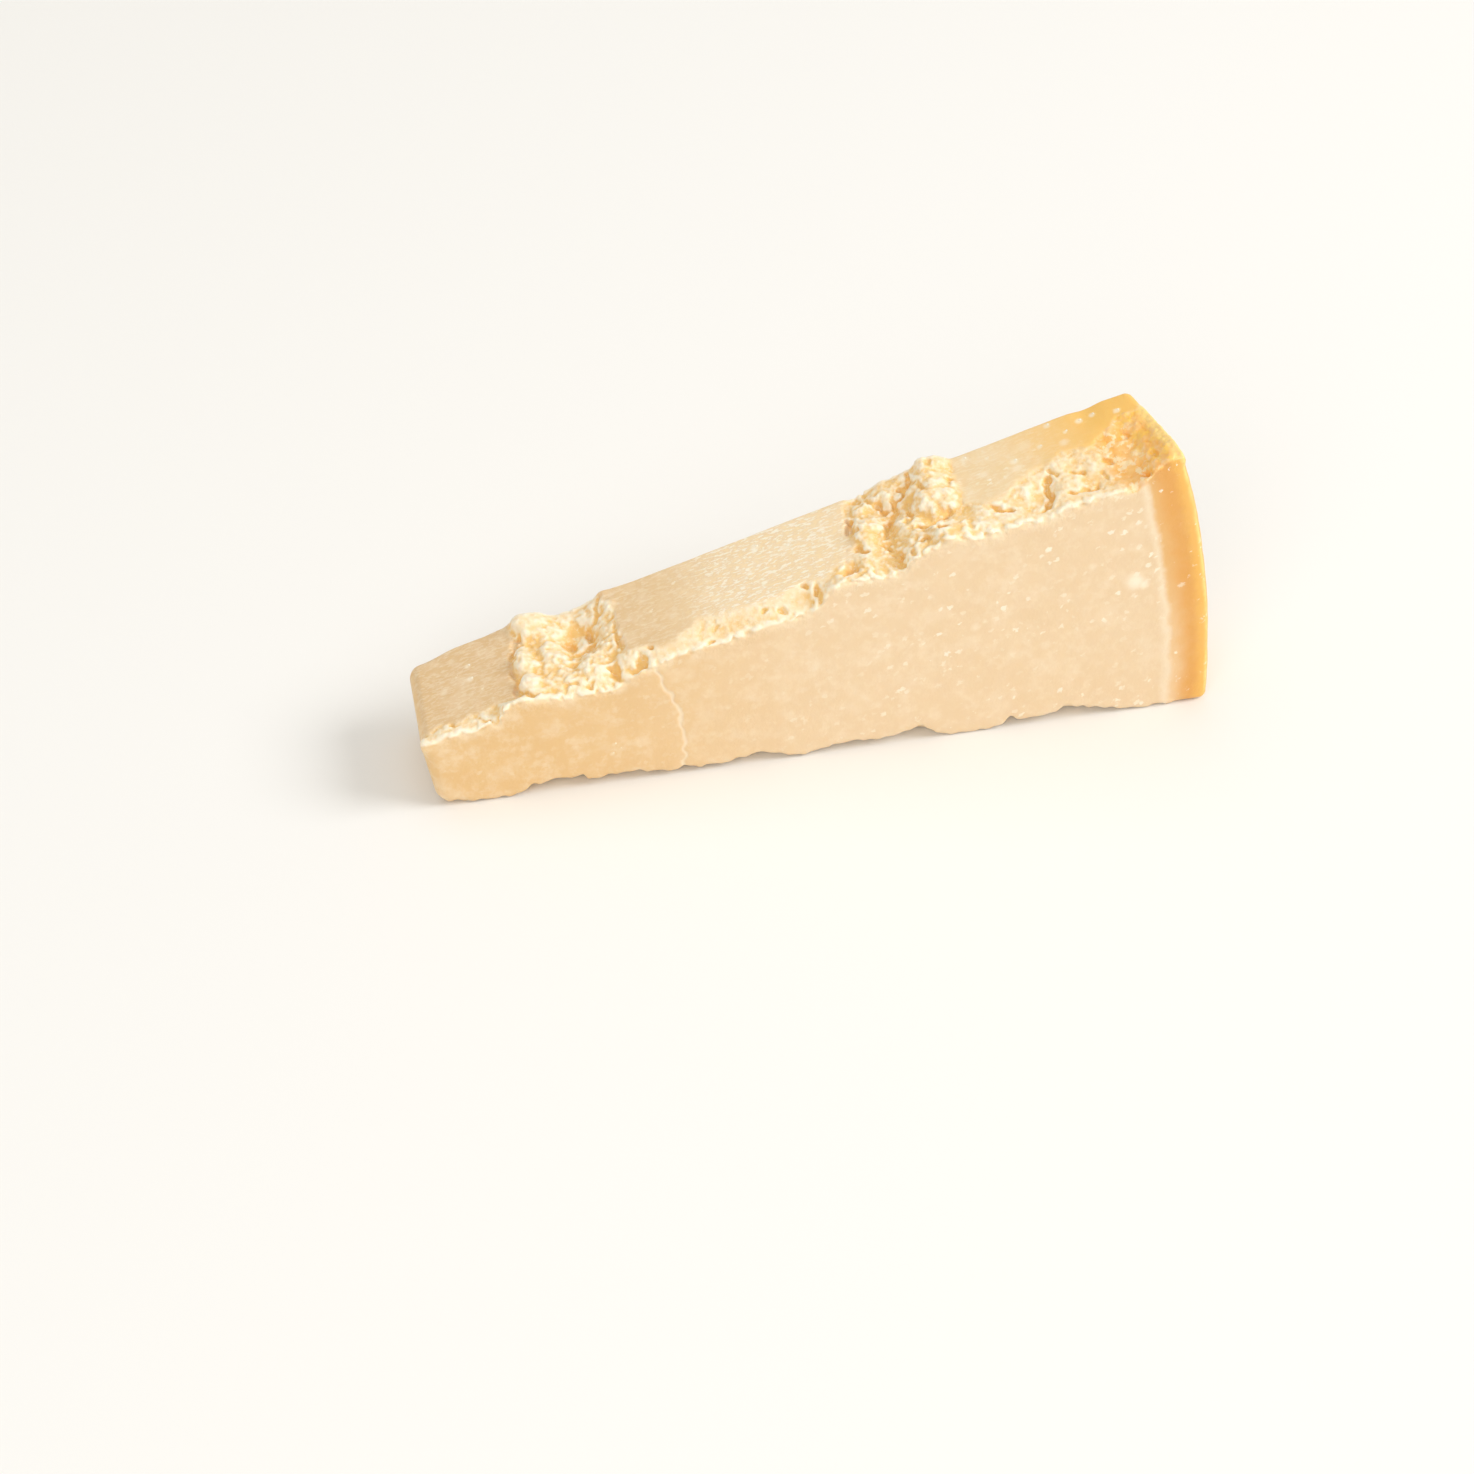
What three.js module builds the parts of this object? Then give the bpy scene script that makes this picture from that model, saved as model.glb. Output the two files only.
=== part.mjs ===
// A wedge of hard grating cheese: a thin sector of a wheel that lies on one of its two radial cuts.
// Its point is cut off short of the wheel's axis, and its far end is the rind of the wheel's heel.
// The front and back are flat wire cuts. The top is partly knife-cut and partly broken along the grain.
// Millimetres, +Z up. +X runs from the point to the rind, and the front face looks along -Y.
import * as THREE from "three";
import { mergeVertices } from "three/addons/utils/BufferGeometryUtils.js";

// The wheel that the wedge comes from.
const WHEEL_RADIUS = 225;
const SECTOR_DEG = 17.2;
const HEEL_DROP = 4.4; // how much smaller the wheel is at the wedge's back than at its front
const HEEL_CURVE = 1.2; // 1 would be a straight cone

// The wedge.
const THICKNESS = 27;
const POINT_CUT = 57.8; // from the wheel's axis to the cut that took off the point
const EDGE_ROUND = 1.6;

// The mesh.
const CELLS_LONG = 64;
const CELLS_THICK = 10;
const CELLS_HIGH = 14;

const SECTOR = THREE.MathUtils.degToRad(SECTOR_DEG);
const SLOPE = Math.tan(SECTOR);

const { clamp, lerp, smoothstep } = THREE.MathUtils;

// 1 between low and high, falling to 0 over soft millimetres outside them.
function band(value, low, high, soft) {
  return smoothstep(value, low - soft, low) * (1 - smoothstep(value, high, high + soft));
}

// 1 at the middle, 0 at the radius and beyond.
function bump(distance, radius) {
  return 1 - smoothstep(Math.abs(distance) / radius, 0, 1);
}

// A repeatable number from -1 to 1 for a corner of the noise lattice.
function latticeValue(i, j, k) {
  const wave = Math.sin(i * 127.1 + j * 311.7 + k * 74.7) * 43758.5453;
  return 2 * (wave - Math.floor(wave)) - 1;
}

// Smooth noise from -1 to 1, with lumps about as wide as size.
function noise(x, y, size, seed) {
  const column = Math.floor(x / size);
  const row = Math.floor(y / size);
  const across = smoothstep(x / size - column, 0, 1);
  const along = smoothstep(y / size - row, 0, 1);
  const near = lerp(latticeValue(column, row, seed), latticeValue(column + 1, row, seed), across);
  const far = lerp(latticeValue(column, row + 1, seed), latticeValue(column + 1, row + 1, seed), across);
  return lerp(near, far, along);
}

// Heights along an edge, smoothly joined: points are [distance from the wheel's axis, height].
function profile(points, distance) {
  const next = points.findIndex(([place]) => place > distance);
  if (next === 0) return points[0][1];
  if (next < 0) return points[points.length - 1][1];
  const [[start, startHeight], [end, endHeight]] = [points[next - 1], points[next]];
  return lerp(startHeight, endHeight, smoothstep(distance, start, end));
}

// Where the top broke instead of being cut: two patches right across, and a strip along the front.
const FIRST_BREAK = { start: 80, end: 104 };
const SECOND_BREAK = { start: 155, end: 180 };
const BREAK_SOFT = 2;

// How far the broken strip reaches in from the front.
const STRIP_WIDTH = [
  [58, 4.5],
  [104, 8],
  [150, 5],
  [182, 10],
  [214, 14],
  [220, 26],
];

// The ragged front edge of the top, above or below the radial plane.
const FRONT_TOP_EDGE = [
  [58, 0.5],
  [69, -0.4],
  [77, 2.4],
  [84, -0.6],
  [94, -2.4],
  [104, -0.6],
  [113, -2.0],
  [138, -2.2],
  [147, -0.6],
  [157, -1.2],
  [165, 2.0],
  [173, 0.4],
  [182, -1.3],
  [192, -1.0],
  [206, -2.3],
  [213, 1.2],
  [220, 2.4],
];

// The back edge of the top.
const BACK_TOP_EDGE = [
  [80, 0],
  [84, 1.8],
  [93, -1.2],
  [97, -1.0],
  [102, 1.0],
  [106, 0],
  [160, 0],
  [166, 0.4],
  [176, 1.8],
  [181, 0],
];

// The front edge of the underside, where pieces broke away between the places that it stands on.
const UNDER_EDGE = [
  [58, 0.6],
  [62, 0],
  [72, 0.2],
  [80, 2.8],
  [90, 2.9],
  [98, 1.6],
  [108, 0.3],
  [117, 0.4],
  [124, 2.2],
  [134, 0.2],
  [146, 1.6],
  [160, 3.2],
  [168, 0.2],
  [176, 0],
  [184, 1.2],
  [192, 3.8],
  [200, 1.2],
  [208, 0.2],
];
const UNDER_REACH = 6; // how far in from the front the underside is broken

function brokenTop(along, inFromFront) {
  const first = band(along, FIRST_BREAK.start, FIRST_BREAK.end, BREAK_SOFT);
  const second = band(along, SECOND_BREAK.start, SECOND_BREAK.end, BREAK_SOFT);
  const strip = 1 - smoothstep(inFromFront / profile(STRIP_WIDTH, along), 0.7, 1.1);
  return Math.max(first, second, strip);
}

// Height of the top above the radial plane.
function topRelief(along, inFromFront) {
  const frontShare = bump(inFromFront, 7);
  const backShare = bump(THICKNESS - inFromFront, 9);
  const ridge = 1.8 * bump(along - 83, 5);
  const bowl = -2.8 * bump(Math.hypot((along - 94) / 9, (inFromFront - 15) / 11), 1);
  const mound = 1.7 * bump(Math.hypot((along - 168) / 15, (inFromFront - 16) / 17), 1);
  const pit = -2.2 * bump(Math.hypot(along - 152, inFromFront - 5), 4);
  const middle = ridge + bowl + mound + pit;
  const edges = frontShare * profile(FRONT_TOP_EDGE, along) + backShare * profile(BACK_TOP_EDGE, along);
  const grain = 0.6 * noise(along, inFromFront, 3.1, 1) + 0.5 * noise(along, inFromFront, 6.3, 2);
  const inner = (1 - frontShare) * (1 - backShare);
  return edges + inner * middle + brokenTop(along, inFromFront) * grain;
}

// Height of the underside above the surface that the wedge stands on.
function underRelief(along, inFromFront) {
  return profile(UNDER_EDGE, along) * bump(inFromFront, UNDER_REACH);
}

function wheelRadius(inFromFront) {
  const share = clamp(inFromFront / THICKNESS, 0, 1);
  return WHEEL_RADIUS - HEEL_DROP * share ** HEEL_CURVE;
}

// Draws a point near the edges of a block of the given sizes in onto rounded edges.
function roundEdges(point, sizes) {
  const core = point.map((value, axis) => clamp(value, EDGE_ROUND, sizes[axis] - EDGE_ROUND));
  const out = point.map((value, axis) => value - core[axis]);
  const reach = Math.hypot(...out);
  return reach > 0 ? core.map((value, axis) => value + (EDGE_ROUND * out[axis]) / reach) : point;
}

// Takes a point of a unit cube to its place on the wedge: long from the point to the rind,
// thick from the front to the back, high from the underside to the top.
function placeOnWedge(long, thick, high) {
  const length = WHEEL_RADIUS - POINT_CUT;
  const height = lerp(POINT_CUT, WHEEL_RADIUS, long) * SLOPE;
  const sizes = [length, THICKNESS, height];
  const rounded = roundEdges([long * length, thick * THICKNESS, high * height], sizes);
  const inFromFront = rounded[1];
  const angle = SECTOR * (rounded[2] / height);
  const start = POINT_CUT / Math.cos(angle - SECTOR / 2);
  const distance = lerp(start, wheelRadius(inFromFront), rounded[0] / length);
  const x = distance * Math.cos(angle);
  const z = distance * Math.sin(angle);
  const share = clamp(z / (x * SLOPE), 0, 1);
  const rise = share ** 2 * topRelief(distance, inFromFront);
  const lift = (1 - share) ** 2 * underRelief(distance, inFromFront);
  return [x, inFromFront - THICKNESS / 2, z + rise + lift];
}

function wedgeGeometry() {
  const box = new THREE.BoxGeometry(1, 1, 1, CELLS_LONG, CELLS_THICK, CELLS_HIGH);
  box.deleteAttribute("normal");
  box.deleteAttribute("uv");
  const geometry = mergeVertices(box);
  const places = geometry.getAttribute("position");
  for (let i = 0; i < places.count; i += 1) {
    const place = placeOnWedge(places.getX(i) + 0.5, places.getY(i) + 0.5, places.getZ(i) + 0.5);
    places.setXYZ(i, ...place);
  }
  centreOverOrigin(geometry);
  geometry.computeVertexNormals();
  return geometry;
}

// Stands the geometry on z = 0 with the middle of its box over the origin.
function centreOverOrigin(geometry) {
  geometry.computeBoundingBox();
  const middle = geometry.boundingBox.getCenter(new THREE.Vector3());
  geometry.translate(-middle.x, -middle.y, -geometry.boundingBox.min.z);
}

const cheese = new THREE.MeshStandardMaterial({ color: 0xf5d9ad, roughness: 0.6, metalness: 0 });
const wedge = new THREE.Mesh(wedgeGeometry(), cheese);
wedge.name = "wedge";

const part = new THREE.Group();
part.add(wedge);

export default part;
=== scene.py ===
"""A wedge of hard grating cheese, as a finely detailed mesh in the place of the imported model's plain wedge.

The shape is worked out in millimetres, in the frame of the wheel that the wedge was cut from: x runs from
the wheel's axis towards the rind, v runs in from the front cut, and z is up. The top lies along a radial
plane, where t is the distance from the axis along the plane, and h is the height above it.
"""
import itertools
import math

import bmesh
import bpy
import numpy as np
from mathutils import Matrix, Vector


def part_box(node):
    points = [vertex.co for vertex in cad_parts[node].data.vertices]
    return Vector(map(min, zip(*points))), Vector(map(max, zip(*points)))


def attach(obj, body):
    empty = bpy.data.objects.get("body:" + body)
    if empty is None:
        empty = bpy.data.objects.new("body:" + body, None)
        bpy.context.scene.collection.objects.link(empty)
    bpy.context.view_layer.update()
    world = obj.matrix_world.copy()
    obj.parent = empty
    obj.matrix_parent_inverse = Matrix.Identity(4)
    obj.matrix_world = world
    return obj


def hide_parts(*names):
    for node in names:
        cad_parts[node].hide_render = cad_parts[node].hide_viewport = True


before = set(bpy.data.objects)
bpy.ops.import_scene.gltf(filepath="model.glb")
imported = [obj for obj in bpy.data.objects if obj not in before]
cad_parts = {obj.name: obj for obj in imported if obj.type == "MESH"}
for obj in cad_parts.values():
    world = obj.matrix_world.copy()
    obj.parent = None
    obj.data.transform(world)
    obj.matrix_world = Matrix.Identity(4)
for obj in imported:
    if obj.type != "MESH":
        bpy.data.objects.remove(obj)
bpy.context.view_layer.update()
LOW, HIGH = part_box("wedge")
MM = 0.001

# The wheel and the wedge, as in the solid.
WHEEL_RADIUS = 225.0
RIND_SHORT = 0.4  # how far the solid's rounded rind ends short of that radius
HEEL_DROP = 4.4
HEEL_CURVE = 1.2
SECTOR = math.radians(17.2)
THICKNESS = (HIGH.y - LOW.y) / MM
POINT_CUT = 57.8

# Where the wheel's axis stands in the row frame.
AXIS_X = HIGH.x - (WHEEL_RADIUS - RIND_SHORT) * MM
FRONT_Y = LOW.y

# How round the edges are, and how far from the tip and from the rind the rounding changes.
CUT_ROUND = 0.8
TIP_ROUND = 2.6
TIP_CHANGE = (2, 9)
RIND_ROUND = 1.8
RIND_CHANGE = (12, 3)
BROKEN_SHARPER = 0.65  # how much of the rounding the broken places lose

# How far each side is set in, so that the uneven surface stays inside the solid's box.
FRONT_IN = 0.15
BACK_IN = 0.05
UNDER_IN = 0.02
RIND_IN = 0.3
TIP_IN = 0.1

# The unevenness of each side: height, width of the lumps, seed.
FRONT_WAVES = [(0.10, 14, 31), (0.04, 3, 32)]
BACK_WAVES = [(0.10, 13, 33), (0.04, 3, 34)]
UNDER_WAVES = [(0.5, 1.6, 35)]
RIND_WAVES = [(0.18, 9, 36), (0.08, 2.4, 37)]
CHIPS = [(0.9, 1.5, 38), (0.4, 0.8, 39)]
CHIP_DEPTH = 0.3
CHIP_HEIGHT = (-1.5, -0.1)  # from how far below the top the chips grow, and where they are full
CRACK_WAVES = [(0.6, 1.7, 40)]
CRACK_SIDES = (0.1, 0.6)  # how far from its line the crack starts to fade, and where it ends
CRACK_DEPTH = 0.15

# The grid that the shape is worked out on.
STEP = 0.3
MARGIN = 1.5
MOST_TRIANGLES = 190_000
LATTICE = 64  # how many cells of the noise there are before it repeats
CROWDING_REACH = 0.9  # how far round a place the cheese is measured, to find its small peaks and creases
HOLLOW_REACH = 2.8  # and its hills and hollows

# ---------------- the broken top

# How far the broken strip reaches in from the front: t, then v.
STRIP_WIDTH = [
    (58, 2.6), (60, 3.2), (63, 4.4), (67, 3.6), (71, 5), (76, 4.6), (80, 3.5), (104, 5), (109, 4.8),
    (113, 2.6), (118, 5), (121, 7.2), (126, 6.2), (131, 5.4), (138, 5), (143, 6), (148, 4.5),
    (152, 7.5), (156, 7.5), (180, 11.5), (184, 9), (188, 9), (192, 12.6), (198, 14), (203, 15.8),
    (207, 14.6), (212, 17), (216, 20), (223, 20.5),
]
# The sides of the two patches that are broken right across: v, then t.
FIRST_PATCH = (
    [(0, 84), (4, 81), (9, 80.6), (15, 80.6), (18.5, 81.5), (20.5, 83.6), (23, 82), (28, 82)],
    [(0, 108), (4, 108), (6, 105), (14, 104.5), (18, 104.3), (22, 104.8), (24, 102.5), (28, 101)],
)
SECOND_PATCH = (
    [(0, 150), (3, 151), (7, 154.5), (9, 155.5), (14, 155.3), (20, 155.5), (24, 156.5), (28, 157)],
    [(0, 182), (8, 181), (11, 180), (20, 180), (28, 180)],
)

# The height of the top's front and back edges above the radial plane: t, then h.
FRONT_TOP_EDGE = [
    (58, 0.5), (63, 0.2), (70, -0.6), (75, -0.4), (78, 2), (82, 2.4), (84.5, 1), (89, -1), (94, -2),
    (100, -2.8), (103, -2), (107, -1.2), (112, -1), (118, -1.2), (125, -2.3), (135, -2.3), (143, -2.8),
    (146, -1), (149, 0.5), (152, 1), (156, 0.2), (160, -1.3), (163.5, -1.4), (166.5, 0.5), (170, 1.3),
    (174.5, 2.3), (178, 1), (180, -0.4), (188, -1), (193, -2), (199, -1.4), (205, -2), (213, -2.8),
    (216, -2), (219, 0.1), (222, 1),
]
BACK_TOP_EDGE = [
    (58, 0), (76, 0), (80, 0.3), (84, 1.5), (88, 0.6), (92, -1.2), (95, -1.6), (98, -1.6), (100, -1),
    (102.5, 0.1), (104.5, 0), (110, -0.3), (156, 0), (158.5, -0.5), (162, 0), (166, 0.7), (171, 1.1),
    (175, 1.9), (178.5, 1.4), (180.5, 0.1), (183, 0), (206, 0.1), (210, -0.4), (215, 0.1), (222, 0.4),
]

# Hills and hollows: t, v, reach along t, reach along v, height.
HILLS = [
    (83.5, 6, 3.6, 5, 1.3), (83.4, 13.5, 3.4, 6.5, 2), (86, 24, 4.5, 6, 1.5),
    (89.5, 15, 4, 8, 0.5), (95.5, 17, 7.5, 9.5, -3), (100.5, 5, 5, 6, -1),
    (93, 7, 6, 6, -0.6), (103.7, 22, 1.8, 2, 0.4), (102.5, 26.5, 2.5, 2.5, 0.2),
    (158.4, 13, 3.4, 7, 1.6), (159.2, 21.5, 2.8, 3.6, 1.1), (165.5, 24.5, 4, 4, 0.4),
    (168, 10, 4.2, 6, 1.1), (174.5, 18, 6.6, 8.5, 2.5), (176.6, 26, 4.6, 5, 1.4),
    (176, 9.5, 3.5, 3, -0.5), (163.5, 15, 2.6, 8, -0.8), (172, 3, 4, 3, -0.3),
    (190, 6, 9, 5, -0.7), (196, 8, 4, 6, -0.9), (201, 13, 4, 3, 0.4),
    (206, 6, 4, 5, -0.7), (218, 10, 6, 9, -0.2),
]

# Pits: t, v, reach along t, reach along v, depth.
PITS = [
    (60.2, 3, 1, 0.7, 0.7), (66.3, 2.7, 1.1, 0.6, 0.6), (71, 0.7, 1, 0.6, 0.6),
    (93, 16.3, 1.7, 1.7, 1.1), (98, 17.5, 1.3, 2.7, 1.3), (101.3, 3.6, 1.3, 2, 1.3),
    (105.8, 2, 2.3, 1.9, 1.7), (103.6, 18, 0.6, 0.9, 0.7), (109.5, 4.6, 1, 0.7, 0.9),
    (121.8, 1.2, 1.3, 0.7, 0.8), (124, 4.2, 0.8, 0.9, 0.7), (129, 0.4, 0.9, 0.7, 0.6),
    (134.5, 3.2, 0.9, 0.7, 0.7), (137.8, 2.2, 0.6, 1, 0.7), (139.3, 0.7, 0.8, 0.6, 0.6),
    (143.6, 5, 0.8, 1, 1), (145.4, 2.2, 0.8, 2.3, 1.6), (153.2, 4.8, 2, 2.4, 2.4),
    (157, 2, 0.9, 0.7, 0.9), (218.5, 5.2, 1.4, 1.8, 1.4), (215.4, 14.2, 1.2, 0.9, 1.2),
]

# Crevices: reach, depth, then the points t, v that each runs through.
CREVICES = [
    (0.4, 0.9, [(72, 2.2), (73.6, 0.8), (75.3, 0.3), (77, 1.6)]),
    (0.45, 1.1, [(83.8, 21), (81.6, 19), (80.4, 15), (80.3, 11.5), (80.7, 8)]),
    (0.65, 1.3, [(81, 8.5), (80.7, 5.5), (81.3, 3.8), (83, 3.2)]),
    (0.5, 0.9, [(91, 10), (93.5, 8.5)]),
    (0.5, 0.9, [(96.5, 11.5), (98, 10)]),
    (0.5, 0.9, [(90.5, 4), (92, 2.6)]),
    (0.5, 0.9, [(95, 2.2), (97, 1.6)]),
    (0.6, 1, [(91.5, 13.5), (94, 13), (97, 13.5), (98.5, 14)]),
    (0.6, 1, [(101.2, 25), (100.5, 22.5), (98.5, 19)]),
    (0.5, 0.9, [(103.3, 15.5), (103.8, 12), (104.4, 8)]),
    (0.7, 1.5, [(171, 25), (170, 24), (168, 21), (165.8, 18), (164.5, 15.5), (162.6, 11.8)]),
    (0.75, 1.6, [(155.6, 19), (155.8, 16), (157, 15)]),
    (0.6, 1.3, [(155.4, 10.5), (156, 9), (157.5, 8.4)]),
    (0.6, 1.1, [(158.5, 25), (159.5, 22.5)]),
    (0.6, 1.2, [(160.5, 25.5), (163, 21), (164.5, 19)]),
    (0.6, 1.1, [(167.5, 14.5), (168.3, 12.5), (166.5, 12)]),
    (0.6, 1.4, [(162.3, 9), (163.3, 6), (163.2, 2.5), (164.8, 1.2)]),
    (0.6, 1.3, [(170, 8.5), (172.5, 8), (174.5, 9), (176, 10.5)]),
    (0.5, 1, [(173, 6.4), (174.5, 5.5)]),
    (0.5, 1, [(169.5, 4.5), (170.3, 2.8)]),
    (0.5, 0.9, [(166.3, 2.5), (166.8, 0.8)]),
    (0.5, 0.9, [(178.8, 19.5), (178.2, 16.5)]),
    (0.45, 0.8, [(176.8, 25.5), (177, 22)]),
    (0.5, 0.9, [(173, 21), (173.6, 17.5)]),
    (0.8, 1.6, [(198, 10.5), (196.2, 8), (196.6, 5.5), (195, 3)]),
    (0.55, 1.2, [(184.8, 7.5), (186.5, 6.8), (188.5, 5.5)]),
    (0.55, 1.2, [(199, 12.3), (200.5, 10.5)]),
    (0.6, 1.2, [(203, 9.5), (205, 8)]),
    (0.6, 1.2, [(201.5, 4.5), (204.5, 4), (206, 5)]),
    (0.6, 1.2, [(209.5, 10.5), (210.5, 8.5)]),
    (0.55, 1, [(208, 7), (209, 5)]),
    (0.5, 0.9, [(215.8, 2.2), (217, 1.2)]),
]

# The ragged line round the broken places, and the ragged sides and uneven depth of pits and crevices: height,
# width of the lumps, seed.
BREAK_WAVES = [(0.8, 2.4, 21), (0.5, 1.0, 22)]
PIT_WAVES_T = [(0.9, 2.1, 51), (0.5, 0.9, 52)]
PIT_WAVES_V = [(0.9, 2.1, 53), (0.5, 0.9, 54)]
PIT_DEPTH_WAVES = [(0.5, 1.9, 55)]
PIT_DEPTH = 0.8  # the mean share of the depths above
BREAK_SIDES = (-0.4, 0.8)  # how far outside its line a broken place starts, and how far in it is full

# How each falls off from its middle, in reaches: where it starts to, and where it ends.
HILL_SIDES = (0.15, 1)
PIT_SIDES = (0.3, 1.25)
CREVICE_SIDES = (0.1, 1.7)

# The clods of the broken places, then the grains that they are made of: width, how domed each is,
# how uneven in height, and how sharp the creases between them are.
CLODS = [(4.4, 0.27, 0.28, 6), (2.2, 0.27, 0.20, 9)]
CLOD_SEED = 60
GRAINS = [(1.15, 0.42, 0.24, 16), (0.7, 0.42, 0.22, 16)]
GRAIN_SEED = 70
DOME_REACH = 0.35  # how far from its middle each one stands out, in widths
DRAWN_OUT = 0.5  # the clods' width as a share of their height
BARE_GRAINS = 0.3  # how far the grains stand out where there are no clods
CLOD_GRAINS = 0.6  # how much further they stand out where there are

# How rough the broken strip is along the wedge, where 1 is as rough as the two patches: t, then the share.
STRIP_ROUGH = [
    (58, 0.3), (80, 0.45), (104, 0.4), (110, 0.08), (148, 0.15), (158, 0.7), (182, 0.5), (208, 0.45),
    (214, 0.45),
]
RAISED_SMOOTHER = 0.3  # how much smoother the raised places are
FRONT_ROUGHER = 0.3  # how much rougher the front edge is
BACK_SMOOTHER = 0.45  # how much smoother the back edge is
BROKEN_DOWN_TO = (-4.0, -2.0)  # how far below the top the broken texture ends, and from where it fades
LEAN = 0.4  # how far the raised places lean towards the point, for each millimetre of height
LEAN_FROM = 0.6
LEAN_MOST = 2  # the height past which they lean no further

# The underside's front edge, where pieces broke away: x, then z.
UNDER_EDGE = [
    (58, 0.5), (60, 0.2), (66, 0.3), (73, 0.1), (75, 0.9), (78, 2.2), (83, 3.2), (86.5, 2.8), (88.8, 3.4),
    (90, 1.9), (92, 1.6), (94, 2), (100, 2.1), (103, 1.6), (107, 0.9), (109.5, 1.6), (112, 1.2),
    (117, 1.1), (123, 2), (126.5, 2.5), (130, 1.6), (133, 0.5), (137, 0.6), (141, 1.4), (148, 2),
    (152, 1.4), (155, 1.7), (158, 2.8), (161, 3.8), (163, 2.6), (165, 0.6), (168, 0.1), (175, 0),
    (178, 0.8), (181, 2.4), (183.5, 1.7), (188, 1.6), (190.5, 2.3), (193, 3.7), (196, 2.6), (199, 2),
    (203, 1), (208, 0.2), (225, 0.2),
]
UNDER_REACH = 5.0


def on_top(t, v):
    """A place on the top's radial plane, in the wheel's frame."""
    return (t * math.cos(SECTOR), v, t * math.sin(SECTOR))


# Pale blotches on the front: x, z, reach, strength. Then those on the top: t, v, reach, strength.
FRONT_BLOTCHES = [
    (206.5, 36, 2.8, 1), (208.3, 35, 1.8, 0.9), (197, 41.5, 1.4, 0.4), (172.5, 29.5, 1.5, 0.5),
    (174.5, 30.8, 1, 0.5), (96, 11, 0.7, 0.9), (95.6, 8.6, 0.8, 0.9), (97, 9.6, 0.6, 0.5),
    (120, 17, 1, 0.4), (139, 25, 1.4, 0.3), (152, 12, 1.2, 0.3), (188, 22, 1.6, 0.3),
]
TOP_BLOTCHES = [
    (66, 14, 1.2, 0.4), (186, 18, 1.6, 0.5), (193, 16, 1.8, 0.5), (204, 18.5, 1.5, 0.5),
    (144, 4, 1.1, 0.8), (196, 22, 2.2, 0.3),
]

# Crystals half sunk in the top: t, v, and how far the paler cheese round each reaches. Then those in the
# front: x, z, reach.
TOP_CRYSTALS = [
    (71.8, 19.5, 1.1), (71.8, 15.2, 1.2), (136.5, 22.5, 1.5), (142.8, 19, 1.5), (150, 17.3, 0.9),
    (139.5, 20.8, 0.7), (183.5, 25, 1.2), (193, 18.5, 1.3), (202, 25.5, 1.1), (208.5, 23.5, 1.2),
    (211.5, 24, 1), (216.5, 22, 1.1), (205, 21.5, 0.8), (199, 20, 0.8), (188, 22.5, 0.7),
    (112, 15, 0.6), (118, 21, 0.6), (125, 13, 0.6), (69, 17.5, 0.5), (74, 11, 0.5),
]
FRONT_CRYSTALS = [(96.0, 11.0, 0.8), (95.5, 8.5, 0.9), (97.1, 9.6, 0.5)]
CRYSTALS = (
    [(on_top(t, v), reach) for t, v, reach in TOP_CRYSTALS]
    + [((x, 0.0, z), reach) for x, z, reach in FRONT_CRYSTALS]
)
CRYSTAL_SEED = 5
CRYSTAL_WIDTH = 0.6  # for each millimetre that the paler cheese reaches
CRYSTAL_LUMPS = 0.35  # how uneven a crystal is, and its lumps' width, in its own widths
CRYSTAL_STRETCH = (0.75, 1.2)
CRYSTAL_FLAT = (1, 1, 0.3)
CRYSTAL_SUNK = (0, 0, 0.06)
PALER_ROUND_CRYSTALS = 0.7

# The crack in the front face: x, z.
FRONT_CRACK = [(105, 30), (105.8, 27.5), (107.6, 22.5), (109.6, 16.5), (110.6, 10), (110.3, 2)]

# ---------------- looks

# The front and the top differ partly as painted light: the front is warmer for warm light bounced up onto it,
# and the top cooler for the whiter light from above; the rest is the cheese's own tone.
CUT_AT_TIP = (0.79, 0.535, 0.255)
CUT_AT_HEEL = (0.82, 0.625, 0.4)
TOP_AT_TIP = (0.74, 0.52, 0.28)
TOP_AT_HEEL = (0.87, 0.68, 0.41)
DEEPER = (0.95, 0.9, 0.82)
PALE = (0.93, 0.8, 0.61)
# The colour of the painted glow along the front's broken top edge.
LIP_GLOW_COLOUR = (0.93, 0.79, 0.56)
WHITE_GRAIN = (0.93, 0.84, 0.68)
TORN = (0.9, 0.71, 0.43)
# The golden colour that the broken places take in their creases and hollows, as painted shade.
GOLDEN_SHADE = (0.86, 0.55, 0.19)
RIPE = (0.89, 0.53, 0.125)
# The deeper orange of the crumbs by the rind, used as painted shade in their sunk gaps.
SCORCHED_GAP_SHADE = (0.93, 0.45, 0.07)
TAN = (0.95, 0.64, 0.3)
YELLOW = (1.0, 0.56, 0.06)
CRUMB = (0.97, 0.76, 0.47)
PEACH = (0.86, 0.64, 0.4)
RIND_INNER = (0.79, 0.48, 0.19)
RIND_MIDDLE = (0.77, 0.385, 0.095)
RIND_OUTER = (0.86, 0.49, 0.11)
RIND_RIM = (0.97, 0.69, 0.25)
SKIN = (0.8, 0.5, 0.16)
SKIN_DARKER = (0.72, 0.41, 0.11)
SPOT = (0.93, 0.82, 0.64)
CRYSTAL = (0.93, 0.85, 0.69)

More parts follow.
